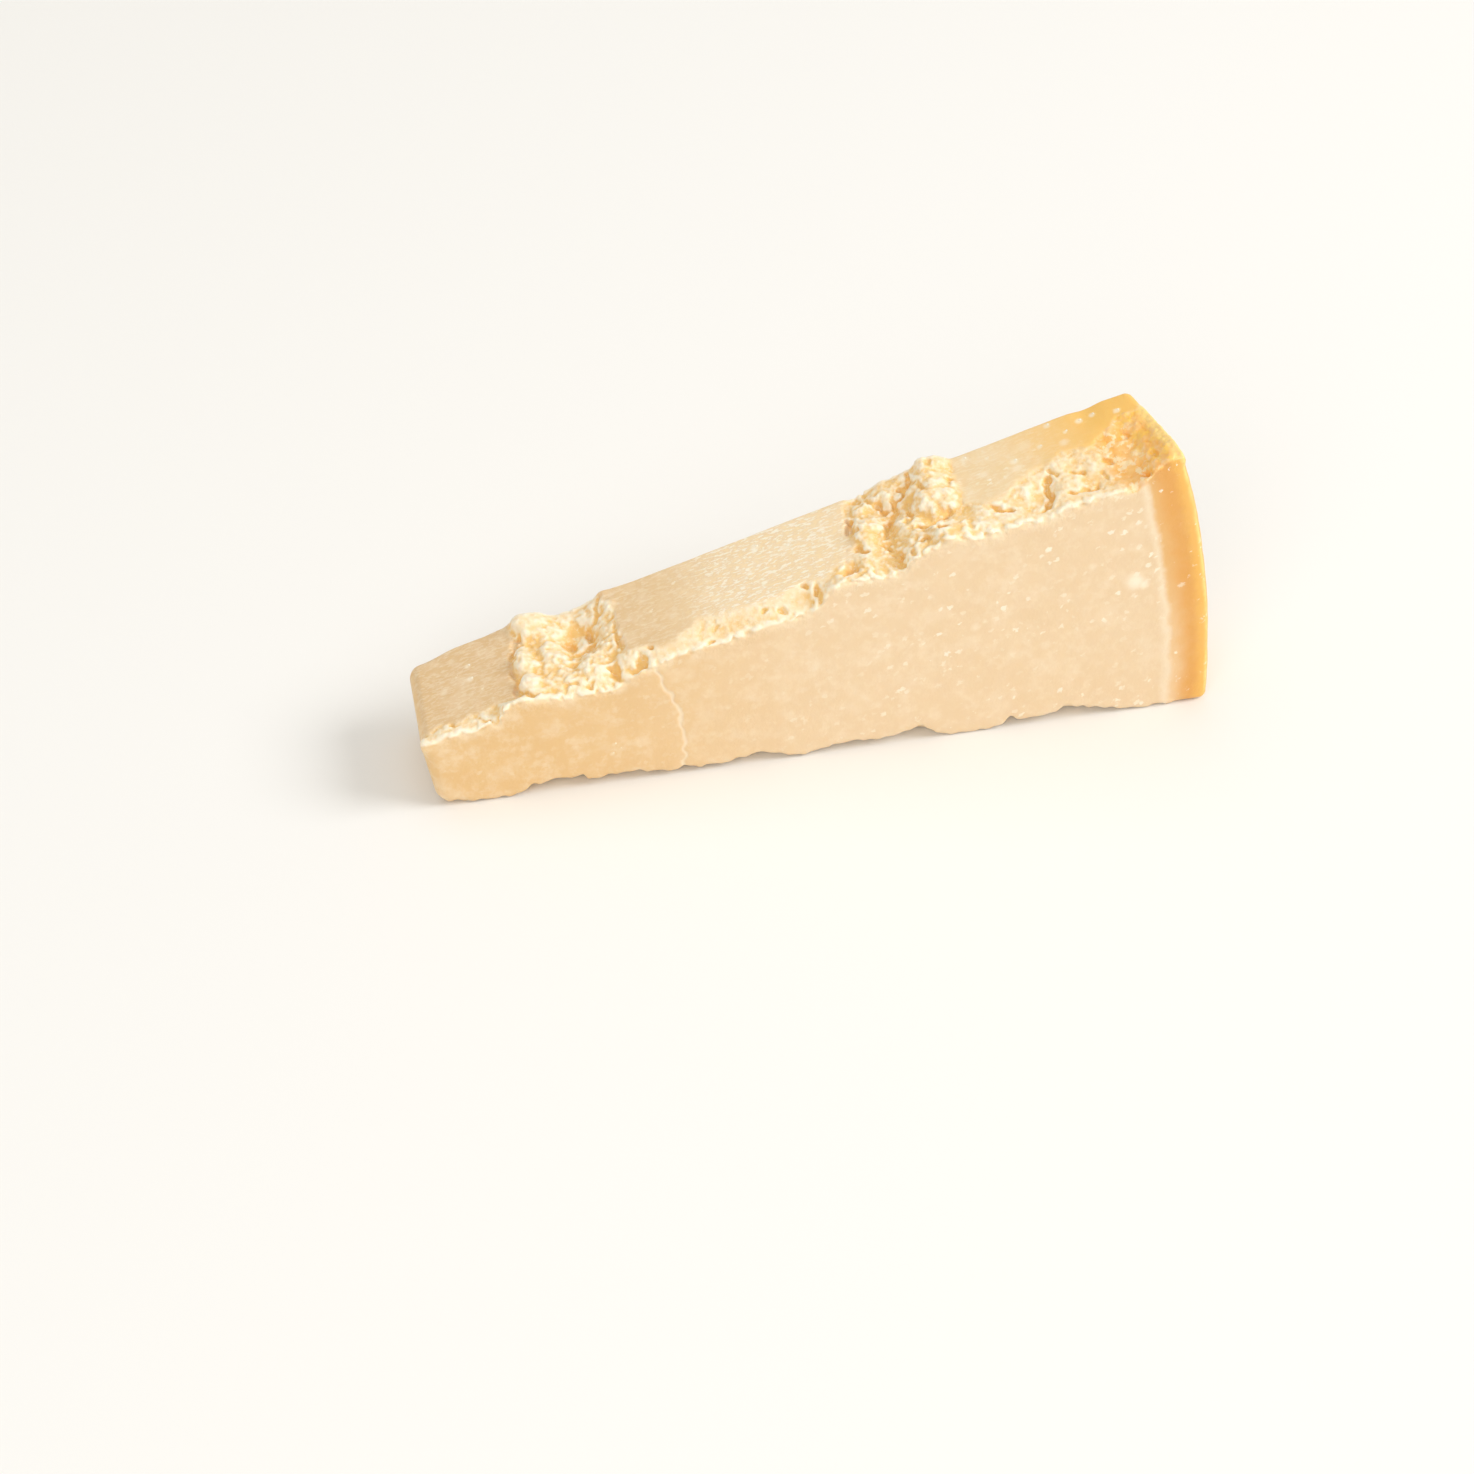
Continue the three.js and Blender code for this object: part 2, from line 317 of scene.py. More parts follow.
# Clouds of another colour: width in mm, detail, the noise where they start and are full, and strength.
DEEPER_CLOUDS = (9, 3, 0.35, 0.65, 0.25)
PALE_CLOUDS = (6, 5, 0.48, 0.68, 0.22)
SMALL_PALE_CLOUDS = (2.4, 4, 0.45, 0.75, 0.3)
LIP_GLOW_CLOUDS = (7, 3, 0.35, 0.65, 0.6)
GOLDEN_CLOUDS = (3, 2, 0.42, 0.58, 1)
WHITE_SPECKS = (0.9, 2, 0.50, 0.66, 0.35)
SCORCHED_CRUMBS = (1.7, 4, 0.48, 0.60, 1)
YELLOW_CLOUDS = (2.4, 3, 0.45, 0.6, 1)
RIND_CLOUDS = (5, 4, 0.4, 0.7, 0.25)
SKIN_CLOUDS = (7, 5, 0.3, 0.75, 1)
CRYSTAL_CLOUDS = (0.5, 2, 0.4, 0.7, 1)

# Pale flecks: spacing in mm, most width, and the share of places that have one.
SMALL_FLECKS = (1.3, 0.7, 0.5)
LARGE_FLECKS = (4, 1.1, 0.3)
RIND_FLECKS = (1.7, 1.05, 0.45)
FLECK_SLANT = math.radians(40)
FLECK_STRETCH = (0.75, 1, 1)

# The warp that gives clouds and flecks ragged edges: lumps to the metre, reach in metres.
WARP_SCALE = 900.0
WARP_REACH = 0.0006

# The streaks that the knife left along the top: their stretch, their width in mm and their detail.
STREAK_STRETCH = (0.25, 1, 1)
STREAK_WIDTH = 0.6
STREAK_DETAIL = 3.0

# Where the broken places turn golden, as painted shade in their creases and hollows: the measure, where that
# starts, where it is full, strength.
GOLDEN_SHADE_LAYERS = [("crowding", 0.44, 0.60, 0.85), ("hollow", 0.465, 0.61, 0.95), ("sunk", 0.4, 1.4, 0.8)]

# Depths inside the rind's outer face, in mm: where each look starts, and where it is full.
RIPENING = (36, 8)
SCORCHING = (17, 11)
SCORCHED_CRUMBS_END = (3, 9)
YELLOWING = (9, 5)
SCORCHED_RIM = (3.2, 1.5)
PALE_LINE = (11.8, 9.8)
BAND = (10.2, 8.4)
BAND_MIDDLE = (9.5, 5)
BAND_PEACH = (4.5, 9)
BAND_OUTER = (4.5, 2)
BAND_RIM = (1.8, 0.4)
BAND_UNEVEN = 0.35  # how far these depths wander

# Depths below the broken top, in mm: where each look starts, and where it is full.
TORN_SKIN = (0.9, 0.3)
SCORCHED_SKIN = (1.6, 0.9)
# The pale band on the front just under the broken top is a painted glow, for light coming through the thin
# edge.
LIP_GLOW = (3.5, 0.2)
LIP_GLOW_BACK = (3, 1)  # the same, for depths in from the front

# How much a face has to look up, or outwards, to be coloured as the top, or as the rind.
TOP_FACES = (0.5, 0.85)
OUTER_FACES = (0.55, 0.85)

# The finish.
ROUGHNESS = (0.42, 0.6)
SUBSURFACE = 0.5
SUBSURFACE_RADIUS = (1.0, 0.85, 0.6)
SUBSURFACE_SCALE = 0.0006
CUT_BUMP = 0.12
BROKEN_BUMP = 0.35
BUMP_HEIGHT = 0.0004

# The lights: name, place, width, power. All look at one place.
LIGHTS = [
    ("key", (1.9, -0.55, 1.5), 1.3, 38),
    ("fill", (-0.9, -1.9, 1.4), 1.8, 18.5),
    ("overhead", (-0.2, 0.7, 2.4), 2.0, 9),
]
LIT_PLACE = (0, 0, 0.03)
SKY = (1.0, 0.97, 0.90)
SKY_STRENGTH = 0.58

FLOOR_WIDTH = 6
FLOOR_COLOUR = (0.84, 0.83, 0.81)
FLOOR_ROUGHNESS = 0.8

SENSOR = 36
LENS = 75.7
SHIFT = -0.063
CLIP = 0.01
CAMERA_PLACE = (AXIS_X + 39.8 * MM, FRONT_Y - 478.8 * MM, 437.7 * MM)
CAMERA_TILT = math.radians(90 - 41.5)
CAMERA_TURN = math.radians(-11.97)


# ---------------- numbers

def ease(share):
    share = np.clip(share, 0, 1)
    return share * share * (3 - 2 * share)


def rise(value, low, high):
    """0 below low and 1 above high, with a smooth step between."""
    return ease((value - low) / (high - low))


def curve(points, at):
    """A smooth line through the points, each a place and its value."""
    places, values = np.array(points, float).T
    start = np.clip(np.searchsorted(places, at, side="right") - 1, 0, len(places) - 2)
    share = ease((at - places[start]) / (places[start + 1] - places[start]))
    return values[start] + share * (values[start + 1] - values[start])


def lattice(place, size):
    """The cell of a lattice, with cells a size wide, that each place is in, and where in the cell it is."""
    scaled = [axis / size for axis in place]
    starts = [np.floor(axis).astype(int) for axis in scaled]
    return starts, [axis - start for axis, start in zip(scaled, starts)]


def noise(place, size, seed):
    """Smooth noise from -1 to 1, with lumps about as wide as size millimetres. A place is three arrays."""
    table = np.random.default_rng(seed).uniform(-1, 1, (LATTICE,) * 3).astype(np.float32)
    starts, shares = lattice(place, size)
    shares = [ease(share) for share in shares]
    total = 0
    for corner in itertools.product((0, 1), repeat=3):
        weight = math.prod(share if side else 1 - share for side, share in zip(corner, shares))
        total = total + weight * table[tuple((start + side) % LATTICE for side, start in zip(corner, starts))]
    return total


def waves(place, sorts, start=0.0):
    """start, with noise of each sort added: its height, the width of its lumps, and its seed."""
    for height, size, seed in sorts:
        start = start + height * noise(place, size, seed)
    return start


def pebbles(place, size, sharpness, seed):
    """How far each place is from the nearest pebble's middle, in sizes, and that pebble's number from 0 to 1.

    Both change smoothly from one pebble to the next.
    """
    table = np.random.default_rng(seed).uniform(0, 1, (LATTICE,) * 3 + (4,)).astype(np.float32)
    starts, shares = lattice(place, size)
    total = np.zeros(starts[0].shape, np.float32)
    number = np.zeros_like(total)
    for corner in itertools.product((-1, 0, 1), repeat=3):
        pebble = table[tuple((start + side) % LATTICE for side, start in zip(corner, starts))]
        away = np.sqrt(sum((side + pebble[..., i] - shares[i]) ** 2 for i, side in enumerate(corner)))
        weight = np.exp(-sharpness * away)
        total += weight
        number += weight * pebble[..., 3]
    return -np.log(total) / sharpness, number / total


def to_segments(points, a, b):
    """Distance from the places (a, b) to a line through the points."""
    nearest = np.full(np.broadcast(a, b).shape, np.inf)
    for (a0, b0), (a1, b1) in zip(points, points[1:]):
        length = (a1 - a0) ** 2 + (b1 - b0) ** 2
        share = np.clip(((a - a0) * (a1 - a0) + (b - b0) * (b1 - b0)) / length, 0, 1)
        nearest = np.minimum(nearest, np.hypot(a - a0 - share * (a1 - a0), b - b0 - share * (b1 - b0)))
    return nearest


# ---------------- the shape

class Grid:
    """Samples over the wedge's box, in the wheel's frame."""

    def __init__(self):
        self.low = np.array([POINT_CUT * math.cos(SECTOR) - MARGIN, -MARGIN, -MARGIN])
        high = np.array([WHEEL_RADIUS, THICKNESS, (HIGH.z - LOW.z) / MM]) + MARGIN
        self.shape = tuple(np.ceil((high - self.low) / STEP).astype(int))
        axes = [low + STEP * np.arange(count) for low, count in zip(self.low, self.shape)]
        self.x, self.v, self.z = np.ix_(*[axis.astype(np.float32) for axis in axes])
        self.t = self.x * math.cos(SECTOR) + self.z * math.sin(SECTOR)
        self.h = self.z * math.cos(SECTOR) - self.x * math.sin(SECTOR)

    def sample(self, field, points):
        """The field's values at points in the wheel's frame."""
        place = np.clip((points - self.low) / STEP, 0, np.array(self.shape) - 1.001)
        start = place.astype(int)
        share = place - start
        total = np.zeros(len(points))
        for corner in itertools.product((0, 1), repeat=3):
            weight = np.prod(np.where(corner, share, 1 - share), axis=1)
            total += weight * field[tuple((start + corner).T)]
        return total


class Top:
    """The relief of the top over t and v, and how broken it is."""

    def __init__(self, grid):
        self.first = 50.0
        count = int((WHEEL_RADIUS + 5 - self.first) / STEP)
        self.t = (self.first + STEP * np.arange(count))[:, None]
        self.v = grid.v.ravel().astype(float)[None, :]
        self.place = (self.t, self.v, np.zeros((1, 1)))
        strip, patches = self.inside_edges()
        self.broken = rise(waves(self.place, BREAK_WAVES, np.maximum(strip, patches)), *BREAK_SIDES)
        heights = self.heights()
        self.rough = self.roughness(patches, heights)
        self.depth = self.depths()
        self.relief = heights - self.depth

    def inside_edges(self):
        """How far inside the broken strip, and inside the two patches, each place is; less than 0 outside."""
        strip = curve(STRIP_WIDTH, self.t) - self.v
        patches = np.full_like(strip, -np.inf)
        for left, right in (FIRST_PATCH, SECOND_PATCH):
            inside = np.minimum(self.t - curve(left, self.v), curve(right, self.v) - self.t)
            patches = np.maximum(patches, inside)
        return strip, patches

    def roughness(self, patches, heights):
        """How far the clods stand out, where 1 is the most."""
        strip_rough = curve(STRIP_ROUGH, self.t)
        rough = strip_rough + (1 - strip_rough) * rise(patches, -1.0, 2.0)
        rough = rough * (1 - RAISED_SMOOTHER * rise(heights, 0.4, 1.8))
        rough = rough + FRONT_ROUGHER * (1 - rise(self.v, 0.5, 2.0)) * (1 - rough)
        return rough * (1 - BACK_SMOOTHER * rise(self.v, THICKNESS - 5, THICKNESS - 1))

    def heights(self):
        """The height of the top above the radial plane, without the pits and crevices."""
        t, v = self.t, self.v
        front = curve(FRONT_TOP_EDGE, t) * (1 - rise(v / np.maximum(curve(STRIP_WIDTH, t), 4.0), 0.1, 1.1))
        back = curve(BACK_TOP_EDGE, t) * rise(v, THICKNESS - 9, THICKNESS - 1)
        heights = front + back
        for t0, v0, reach_t, reach_v, height in HILLS:
            away = np.hypot((t - t0) / reach_t, (v - v0) / reach_v)
            heights = heights + height * (1 - rise(away, *HILL_SIDES))
        return heights

    def depths(self):
        """The pits, and the crevices between the clods, with ragged sides."""
        t = waves(self.place, PIT_WAVES_T, self.t)
        v = waves(self.place, PIT_WAVES_V, self.v)
        depth = np.zeros_like(self.broken)
        for t0, v0, reach_t, reach_v, deep in PITS:
            away = np.hypot((t - t0) / reach_t, (v - v0) / reach_v)
            depth = np.maximum(depth, deep * (1 - rise(away, *PIT_SIDES)))
        for reach, deep, points in CREVICES:
            away = to_segments(points, t, v) / reach
            depth = np.maximum(depth, deep * (1 - rise(away, *CREVICE_SIDES)))
        return depth * waves(self.place, PIT_DEPTH_WAVES, PIT_DEPTH)

    def at(self, table, t, v_index):
        """A table's value at any t, for the grid's own v samples."""
        place = np.clip((t - self.first) / STEP, 0, table.shape[0] - 1.001)
        start = place.astype(int)
        share = place - start
        return table[start, v_index] * (1 - share) + table[start + 1, v_index] * share


def wheel_radius(v):
    """The wheel's radius, which gets smaller towards the wedge's back."""
    return WHEEL_RADIUS - HEEL_DROP * np.clip(v / THICKNESS, 0, 1) ** HEEL_CURVE


def crumble(place, sorts, seed):
    """How far packed clods or grains of the given sorts stand out at each place."""
    out = np.zeros_like(place[0])
    for seed, (size, dome, tilt, sharpness) in enumerate(sorts, start=seed):
        shift = [0.35 * size * noise(place, 0.9 * size, 10 * seed + i) for i in range(3)]
        away, number = pebbles([axis + part for axis, part in zip(place, shift)], size, sharpness, seed)
        out += size * (dome * (DOME_REACH - away) + tilt * (number - 0.5))
    return out


def on_crack(x, z):
    """1 on the crack in the front face, falling to 0 beside it."""
    ragged = waves((x, np.zeros_like(x), z), CRACK_WAVES, x)
    return 1 - rise(to_segments(FRONT_CRACK, ragged, z), *CRACK_SIDES)


def top_field(grid, top):
    """At each sample: height above the top's surface, how broken it is there, and how far it is sunk."""
    shape = grid.shape
    v_index = np.arange(shape[1])[None, :, None]
    leaning = grid.t + LEAN * np.clip(grid.h - LEAN_FROM, 0, LEAN_MOST)
    height = (grid.h - top.at(top.relief, leaning, v_index)).astype(np.float32)
    broken = (top.at(top.broken, leaning, v_index) * rise(height, *BROKEN_DOWN_TO)).astype(np.float32)
    sunk = np.broadcast_to(top.at(top.depth, leaning, v_index), shape).astype(np.float32)
    rough = np.nonzero((broken > 0) & (height < 3))
    place = [np.broadcast_to(axis, shape)[rough] for axis in (grid.t, grid.v, DRAWN_OUT * grid.h)]
    share = np.broadcast_to(top.at(top.rough, leaning, v_index), shape)[rough]
    clods = crumble(place, CLODS, CLOD_SEED)
    grains = crumble(place, GRAINS, GRAIN_SEED)
    out = share * clods + (BARE_GRAINS + CLOD_GRAINS * share) * grains
    sunk[rough] -= out
    height[rough] -= broken[rough] * out
    return height, broken, sunk


def cut_sides(grid, height, broken):
    """How far outside the front, the back and the underside each sample is."""
    across = grid.x, np.zeros((1, 1, 1)), grid.z
    front_wave = waves(across, FRONT_WAVES) + CRACK_DEPTH * on_crack(grid.x, grid.z)
    chips = np.maximum(waves(across, CHIPS, CHIP_DEPTH), 0)
    chips = chips * broken * rise(height, *CHIP_HEIGHT)
    under_wave = waves((grid.x, grid.v, np.zeros((1, 1, 1))), UNDER_WAVES, curve(UNDER_EDGE, grid.x))
    under_wave = np.maximum(under_wave, 0) * (1 - rise(grid.v, 0.5, UNDER_REACH))
    return (
        FRONT_IN + np.abs(front_wave) + chips - grid.v,
        grid.v - THICKNESS + BACK_IN + np.abs(waves(across, BACK_WAVES)),
        UNDER_IN + under_wave - grid.z,
    )


def ends(grid, radius):
    """How far outside the rind and the cut at the point each sample is."""
    rind_wave = waves((np.zeros((1, 1, 1)), grid.v, grid.z), RIND_WAVES)
    along_bisector = grid.x * math.cos(SECTOR / 2) + grid.z * math.sin(SECTOR / 2)
    return radius - wheel_radius(grid.v) + RIND_IN + rind_wave, POINT_CUT - along_bisector + TIP_IN


def rounding(grid, radius, broken):
    """The radius of the rounded edges at each sample."""
    tip_start, tip_end = [POINT_CUT + reach for reach in TIP_CHANGE]
    rind_start, rind_end = [WHEEL_RADIUS - reach for reach in RIND_CHANGE]
    soft = CUT_ROUND + (TIP_ROUND - CUT_ROUND) * (1 - rise(grid.x, tip_start, tip_end))
    soft = soft + (RIND_ROUND - CUT_ROUND) * rise(radius, rind_start, rind_end)
    return soft * (1 - BROKEN_SHARPER * broken)


def wedge_field(grid, top):
    """Distances from the wedge's surface, less than 0 inside it, and what the top is like at each sample."""
    height, broken, sunk = top_field(grid, top)
    radius = np.sqrt(grid.x ** 2 + grid.z ** 2)
    soft = rounding(grid, radius, broken)
    outside = np.zeros(grid.shape, np.float32)
    deepest = np.full(grid.shape, -np.inf, np.float32)
    for side in (*cut_sides(grid, height, broken), height, *ends(grid, radius)):
        drawn = side + soft
        outside += np.maximum(drawn, 0) ** 2
        deepest = np.maximum(deepest, drawn)
    field = np.sqrt(outside) + np.minimum(deepest, 0) - soft
    return field.astype(np.float32), height, broken, sunk


def blurred(inside, reach):
    """The share of the samples within reach, in a box round each sample, that are inside the cheese."""
    half = max(1, round(reach / STEP))
    total = inside.astype(np.float32)
    for axis in range(3):
        padded = np.pad(total, [(half + 1, half) if i == axis else (0, 0) for i in range(3)])
        summed = np.cumsum(padded, axis=axis, dtype=np.float32)
        ahead = [slice(None)] * 3
        behind = [slice(None)] * 3
        ahead[axis] = slice(2 * half + 1, None)
        behind[axis] = slice(None, -(2 * half + 1))
        total = (summed[tuple(ahead)] - summed[tuple(behind)]) / (2 * half + 1)
    return total


def surface(field, low):
    """The zero surface of a field, as vertices and four-sided faces that look outwards."""
    inside = field < 0
    count = sum(
        inside[i:field.shape[0] - 1 + i, j:field.shape[1] - 1 + j, k:field.shape[2] - 1 + k].astype(np.int8)
        for i, j, k in itertools.product((0, 1), repeat=3)
    )
    mixed = (count > 0) & (count < 8)
    cells = np.argwhere(mixed)
    number = np.full(mixed.shape, -1, np.int32)
    number[mixed] = np.arange(len(cells))
    total = np.zeros((len(cells), 3))
    hits = np.zeros(len(cells))
    for axis in range(3):
        others = [i for i in range(3) if i != axis]
        for a, b in itertools.product((0, 1), repeat=2):
            corner = np.zeros(3, int)
            corner[others] = a, b
            end = corner.copy()
            end[axis] = 1
            start_value = field[tuple((cells + corner).T)]
            end_value = field[tuple((cells + end).T)]
            crossing = (start_value < 0) != (end_value < 0)
            share = start_value[crossing] / (start_value[crossing] - end_value[crossing])
            total[crossing] += corner
            total[crossing, axis] += share
            hits[crossing] += 1
    vertices = low + STEP * (cells + total / hits[:, None])
    faces = []
    for axis in range(3):
        b, c = (axis + 1) % 3, (axis + 2) % 3
        head = [slice(1, -1)] * 3
        tail = [slice(1, -1)] * 3
        head[axis], tail[axis] = slice(None, -1), slice(1, None)
        leaving = inside[tuple(head)] & ~inside[tuple(tail)]
        entering = ~inside[tuple(head)] & inside[tuple(tail)]
        for edges, forward in ((leaving, True), (entering, False)):
            place = np.argwhere(edges) + 1
            place[:, axis] -= 1
            ring = []
            for db, dc in ((-1, -1), (0, -1), (0, 0), (-1, 0)):
                cell = place.copy()
                cell[:, b] += db
                cell[:, c] += dc
                ring.append(number[tuple(cell.T)])
            faces.append(np.stack(ring if forward else ring[::-1], axis=1))
    return vertices, np.concatenate(faces)


def to_row_frame(points):
    """Millimetres in the wheel's frame to metres in the row frame."""
    return points * MM + np.array([AXIS_X, FRONT_Y, LOW.z])


def to_wheel_frame(points):
    """Metres in the row frame to millimetres in the wheel's frame."""
    return (points - np.array([AXIS_X, FRONT_Y, LOW.z])) / MM


def mesh_object(name, vertices, faces):
    """A new object in the scene, whose faces all have the same number of corners."""
    mesh = bpy.data.meshes.new(name)
    mesh.vertices.add(len(vertices))
    mesh.vertices.foreach_set("co", vertices.astype(np.float32).ravel())
    mesh.loops.add(faces.size)
    mesh.loops.foreach_set("vertex_index", faces.astype(np.int32).ravel())
    mesh.polygons.add(len(faces))
    mesh.polygons.foreach_set("loop_start", np.arange(0, faces.size, faces.shape[1], dtype=np.int32))
    mesh.update(calc_edges=True)
    mesh.validate()
    piece = bpy.data.objects.new(name, mesh)
    bpy.context.scene.collection.objects.link(piece)
    return piece


def apply_modifiers(piece):
    graph = bpy.context.evaluated_depsgraph_get()
    done = bpy.data.meshes.new_from_object(piece.evaluated_get(graph))
    old = piece.data
    piece.modifiers.clear()
    piece.data = done
    bpy.data.meshes.remove(old)


def shade_smooth(piece):
    piece.data.polygons.foreach_set("use_smooth", [True] * len(piece.data.polygons))


def thin_out(piece, most):
    """Collapses edges where the surface is plain, until there are no more than most triangles."""
    triangles = 2 * len(piece.data.polygons)
    if triangles > most:
        modifier = piece.modifiers.new("thin_out", "DECIMATE")
        modifier.ratio = most / triangles
        apply_modifiers(piece)


def write_attribute(piece, name, values):
    attribute = piece.data.attributes.new(name, "FLOAT", "POINT")
    attribute.data.foreach_set("value", np.asarray(values, np.float32))


def vertex_places(piece):
    """The places of a piece's vertices, in the wheel's frame."""
    places = np.zeros(len(piece.data.vertices) * 3, np.float32)
    piece.data.vertices.foreach_get("co", places)
    return to_wheel_frame(places.reshape(-1, 3))


def make_wedge():
    """The wedge, with what the surface is like at each vertex as attributes for the material."""
    grid = Grid()
    field, height, broken, sunk = wedge_field(grid, Top(grid))
    vertices, faces = surface(field, grid.low)
    piece = mesh_object("cheese_wedge", to_row_frame(vertices), faces)
    thin_out(piece, MOST_TRIANGLES)
    shade_smooth(piece)
    points = vertex_places(piece)
    x, v, z = points.T
    inside = field < 0
    measures = {
        "crowding": grid.sample(blurred(inside, CROWDING_REACH), points),
        "hollow": grid.sample(blurred(inside, HOLLOW_REACH), points),
        "sunk": grid.sample(sunk, points),
        "broken": grid.sample(broken, points),
        "below_top": -grid.sample(height, points),
        "from_front": v,
        "crack": on_crack(x, z) * (v < 1),
        "rind_depth": wheel_radius(v) - np.hypot(x, z),
    }
    for name, values in measures.items():
        write_attribute(piece, name, values)
    return piece


def ball_mesh():
    """The corners and triangles of a ball that is 1 wide."""
    ball = bmesh.new()
    bmesh.ops.create_icosphere(ball, subdivisions=2, radius=0.5)
    corners = np.array([vertex.co for vertex in ball.verts])
    triangles = np.array([[vertex.index for vertex in face.verts] for face in ball.faces])
    ball.free()
    return corners, triangles


def crystal_shape(corners, random):
    """A ball's corners, moved to make a flat uneven crystal of about the same width."""
    place = tuple((corners + random.uniform(0, 9, 3)).T)
    lumpy = corners * (1 + CRYSTAL_LUMPS * noise(place, CRYSTAL_LUMPS, 71))[:, None]
    return lumpy * random.uniform(*CRYSTAL_STRETCH, 3) * CRYSTAL_FLAT - CRYSTAL_SUNK


def make_crystals(wedge):
    """Flat uneven crystals, half sunk in the cut faces."""
    random = np.random.default_rng(CRYSTAL_SEED)
    corners, triangles = ball_mesh()
    vertices, faces = [], []
    for point, reach in CRYSTALS:
        start = Vector(to_row_frame(np.array(point)))
        inward = (0, 1, 0) if point[1] == 0 else (math.sin(SECTOR), 0, -math.cos(SECTOR))
        hit, place, normal, _ = wedge.ray_cast(start - 5 * MM * Vector(inward), inward)
        if not hit:
            continue
        shape = crystal_shape(corners, random)
        turn = normal.to_track_quat("Z", "Y").to_matrix()
        faces.append(triangles + sum(len(part) for part in vertices))
        vertices.append(CRYSTAL_WIDTH * reach * MM * shape @ np.array(turn).T + np.array(place))
    piece = mesh_object("crystals", np.concatenate(vertices), np.concatenate(faces))
    shade_smooth(piece)
    return piece


# ---------------- materials

class Nodes:
    """A new material and its nodes. A node takes numbers, colours and other nodes' outputs."""

    def __init__(self, name):
        self.material = bpy.data.materials.new(name)
        self.material.use_nodes = True
        self.tree = self.material.node_tree
        self.shader = self.tree.nodes["Principled BSDF"]
        self.place = self.add("ShaderNodeTexCoord").outputs["Object"]

    def feed(self, socket, value):
        if isinstance(value, bpy.types.NodeSocket):
            self.tree.links.new(value, socket)
        else:
            socket.default_value = value

    def add(self, kind, inputs=None, **settings):
        """A new node, with a value or a link for each input named."""
        made = self.tree.nodes.new(kind)
        for name, value in settings.items():
            setattr(made, name, value)
        for key, value in (inputs or {}).items():
            self.feed(made.inputs[key], value)
        return made

    def maths(self, operation, a, b):
        return self.add("ShaderNodeMath", {0: a, 1: b}, operation=operation).outputs[0]

    def product(self, a, b):
        return self.maths("MULTIPLY", a, b)

    def scaled(self, place, factors):
        return self.add("ShaderNodeVectorMath", {0: place, 1: factors}, operation="MULTIPLY").outputs[0]

    def axes(self, vector):
        return self.add("ShaderNodeSeparateXYZ", {0: vector}).outputs

    def step(self, value, low, high, start=0.0, end=1.0):
        """start where the value is below low, and end where it is above high, with a smooth step between."""
        inputs = {"Value": value, "From Min": low, "From Max": high, "To Min": start, "To Max": end}
        return self.add("ShaderNodeMapRange", inputs, interpolation_type="SMOOTHSTEP").outputs[0]

    def blend(self, factor, a, b, mode="MIX"):
        """Colour a where the factor is 0, and colour b where it is 1."""
        a, b = [value if isinstance(value, bpy.types.NodeSocket) else (*value, 1) for value in (a, b)]
        inputs = {0: factor, 6: a, 7: b}
        return self.add("ShaderNodeMix", inputs, data_type="RGBA", blend_type=mode).outputs[2]

    def attribute(self, name):
        settings = {"attribute_name": name, "attribute_type": "GEOMETRY"}
        return self.add("ShaderNodeAttribute", **settings).outputs["Fac"]

    def grain(self, place, size, detail=2.0):
        """Noise from 0 to 1, with lumps about as wide as size millimetres."""
        inputs = {"Vector": place, "Scale": 1 / (size * MM), "Detail": detail, "Roughness": 0.6}
        return self.add("ShaderNodeTexNoise", inputs).outputs[0]

    def clouds(self, place, size, detail, low, high, strength):
        """0 where the grain is below low, and strength where it is above high."""
        return self.step(self.grain(place, size, detail), low, high, 0.0, strength)

    def flecks(self, place, spacing, reach, share):
        """1 in small ragged spots a spacing apart, where share is how many of the places have one."""
        inputs = {"Vector": place, "Scale": 1 / (spacing * MM), "Randomness": 1.0}
        cells = self.add("ShaderNodeTexVoronoi", inputs, feature="F1")
        away = self.product(cells.outputs["Distance"], spacing)
        chance = self.add("ShaderNodeSeparateColor", {0: cells.outputs["Color"]}).outputs
        size = self.product(self.maths("POWER", chance[1], 2.0), reach)
        ragged = self.product(self.maths("SUBTRACT", self.grain(place, 0.6, 1.0), 0.5), 1.6)
        spot = self.maths("ADD", self.maths("SUBTRACT", size, away), ragged)
        kept = self.maths("LESS_THAN", chance[0], share)
        strength = self.product(kept, self.step(chance[2], 0.0, 1.0, 0.35, 1.0))
        return self.product(self.step(spot, -0.1, 0.35), strength)

    def finish(self, colour, roughness, relief, bump, bump_height):
        """Joins the looks to the shader. relief is the height that the bump follows."""
        inputs = {"Strength": bump, "Distance": bump_height, "Height": relief}
        self.feed(self.shader.inputs["Base Color"], colour)
        self.feed(self.shader.inputs["Roughness"], roughness)
        self.feed(self.shader.inputs["Normal"], self.add("ShaderNodeBump", inputs).outputs[0])
        return self.material


